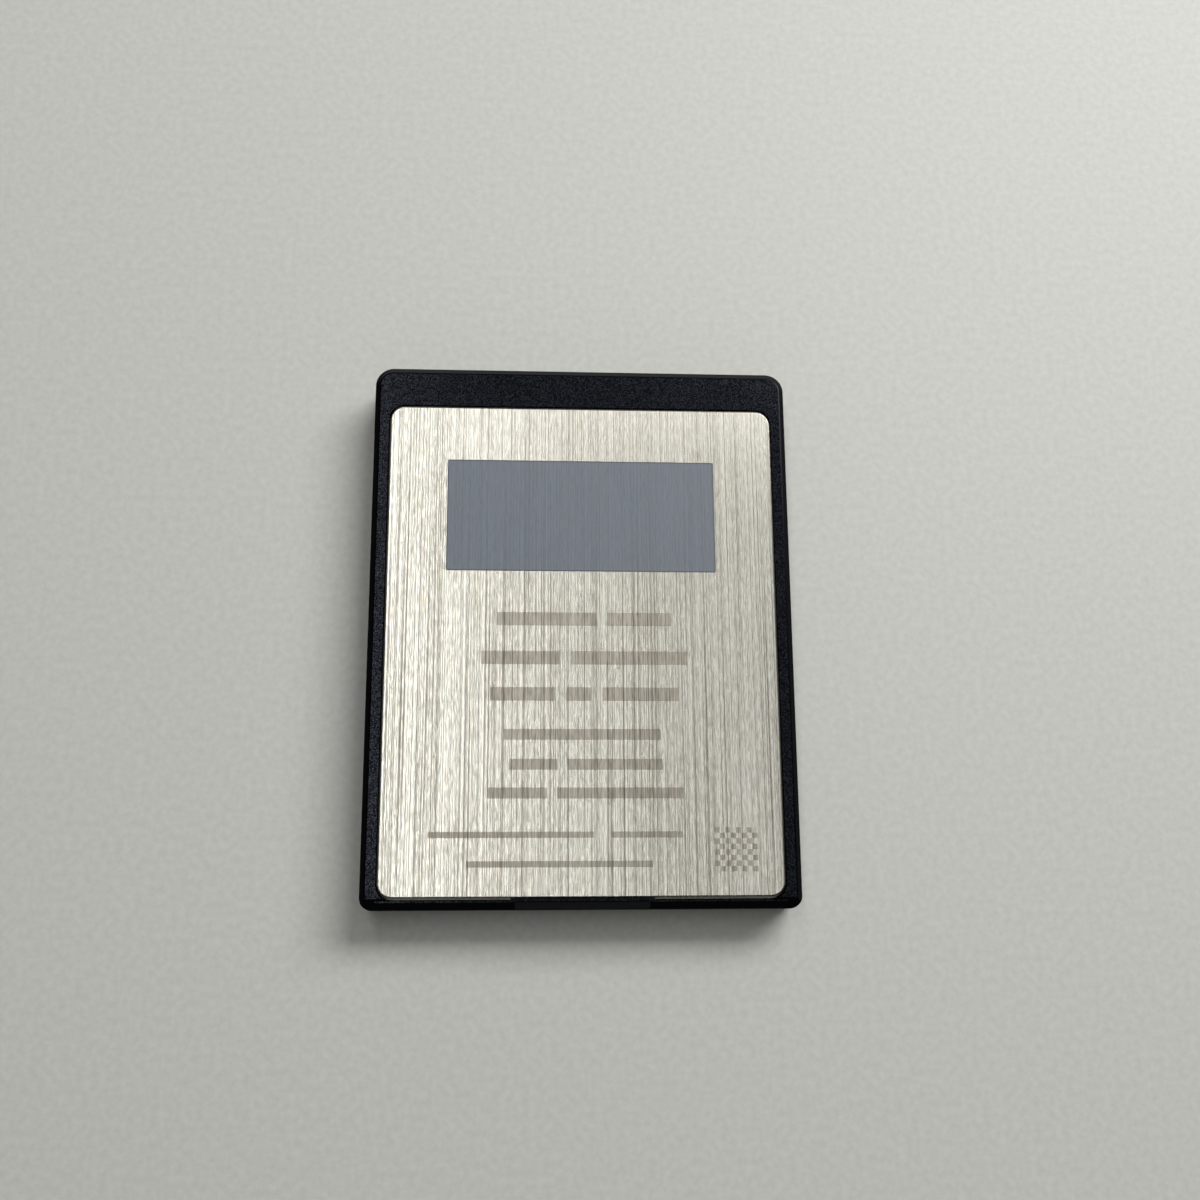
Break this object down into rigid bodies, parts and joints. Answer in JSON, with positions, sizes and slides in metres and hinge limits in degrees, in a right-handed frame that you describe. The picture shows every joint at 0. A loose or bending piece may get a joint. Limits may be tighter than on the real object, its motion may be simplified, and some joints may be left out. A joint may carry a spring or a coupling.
{
  "type": "xqd memory card",
  "caption": "Flat rectangular memory card: black moulded case, brushed steel back cover and a slot connector with flat gold contacts at one end.",
  "frame": {"origin": "centre of the front face, on which the card lies", "axes": "+Z from the front face to the steel back cover, +Y from the connector end to the grip end, +X to the right seen from the back cover"},
  "size_m": [0.0298, 0.0384, 0.0038],
  "materials": {
    "frame": "fine spark-eroded black moulding",
    "front_shell": "fine spark-eroded black moulding",
    "back_cover": "warm stainless steel brushed along the card",
    "insulating_sheet": "amber film",
    "connector_housing": "smooth black moulding",
    "ground_contacts": "gold plated",
    "signal_contacts": "gold plated",
    "hold_down_tabs": "tin plated",
    "circuit_board": "green solder mask",
    "flash_chip_near": "black moulded package",
    "flash_chip_far": "black moulded package",
    "controller_chip": "black moulded package",
    "voltage_regulator": "black moulded package",
    "power_inductor": "grey ferrite with tinned ends",
    "crystal": "nickel lid on a ceramic base",
    "surge_arrays": "black moulded package",
    "coupling_capacitors": "tan ceramic with tinned ends",
    "bulk_capacitors": "tan ceramic with tinned ends",
    "decoupling_capacitors": "tan ceramic with tinned ends",
    "resistors": "black glaze with tinned ends"
  },
  "bodies": {
    "root": {"frame": "frame", "front_shell": "front_shell", "back_cover": "back_cover", "insulating_sheet": "insulating_sheet", "connector_housing": "connector_housing", "ground_contacts": "ground_contacts", "signal_contacts": "signal_contacts", "hold_down_tabs": "hold_down_tabs", "circuit_board": "circuit_board", "flash_chip_near": "flash_chip_near", "flash_chip_far": "flash_chip_far", "controller_chip": "controller_chip", "voltage_regulator": "voltage_regulator", "power_inductor": "power_inductor", "crystal": "crystal", "surge_arrays": "surge_arrays", "coupling_capacitors": "coupling_capacitors", "bulk_capacitors": "bulk_capacitors", "decoupling_capacitors": "decoupling_capacitors", "resistors": "resistors"}
  },
  "joints": []
}
